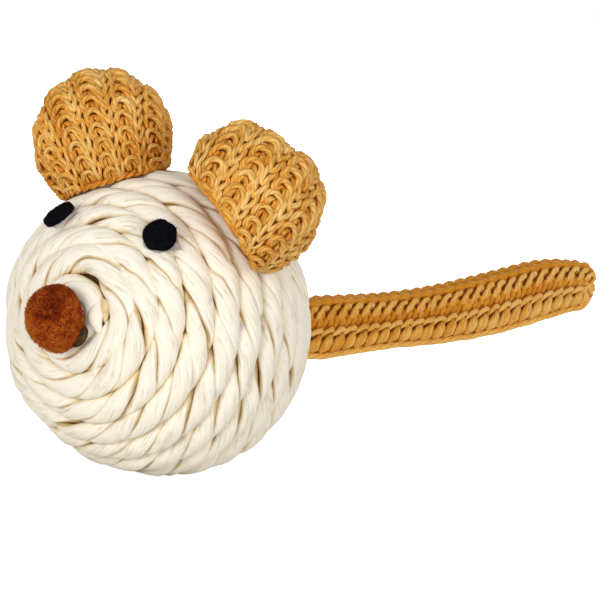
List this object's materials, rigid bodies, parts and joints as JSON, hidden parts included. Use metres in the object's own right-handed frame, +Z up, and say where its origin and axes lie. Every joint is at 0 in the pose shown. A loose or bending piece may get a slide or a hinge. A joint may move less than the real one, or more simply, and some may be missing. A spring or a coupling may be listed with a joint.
{
  "type": "catnip mouse toy",
  "caption": "Mouse-shaped cat toy: a ball wound with paper rope, with stuffed knitted ears, felt eyes, a pompom nose and a crocheted tail that bends at its root.",
  "frame": {"origin": "middle of the rear one of the two small flats under the wound ball, where two neighbouring turns of the rope lie on the ground", "axes": "+Z up, -Y towards the nose, +Y along the tail, +X to the mouse's left"},
  "size_m": [0.0579, 0.1706, 0.0656],
  "materials": {
    "rope_paper": "matt twisted paper, cream with tan creases",
    "core_plastic": "plain matt moulding",
    "pouch_cloth": "plain woven cotton",
    "pompom_fibre": "short rust-brown pile",
    "black_felt": "pressed black felt",
    "hot_glue": "set clear glue, greyish",
    "ear_yarn": "golden knitting yarn",
    "ear_wadding": "loose polyester wadding",
    "tail_yarn": "golden-brown crochet yarn"
  },
  "bodies": {
    "ball": {"core_front_shell": "core_plastic", "core_rear_shell": "core_plastic", "catnip_pouch": "pouch_cloth", "rope_winding": "rope_paper", "nose_pompom": "pompom_fibre", "nose_glue": "hot_glue", "left_eye": "black_felt", "left_eye_glue": "hot_glue", "left_ear_cover": "ear_yarn", "left_ear_stuffing": "ear_wadding", "left_ear_glue": "hot_glue", "right_eye": "black_felt", "right_eye_glue": "hot_glue", "right_ear_cover": "ear_yarn", "right_ear_stuffing": "ear_wadding", "right_ear_glue": "hot_glue", "tail_anchor": "tail_yarn"},
    "tail_root": {"tail_root_knot": "tail_yarn"},
    "tail": {"tail_knit": "tail_yarn"}
  },
  "joints": [
    {"name": "tail_swing", "type": "hinge", "parent": "ball", "child": "tail_root", "pos_m": [0, 0.02711, 0.02519], "axis": [0, 0, 1], "range_deg": [-60, 60]},
    {"name": "tail_lift", "type": "hinge", "parent": "tail_root", "child": "tail", "pos_m": [0, 0.02711, 0.02519], "axis": [1, 0, 0], "range_deg": [-45, 60]}
  ]
}
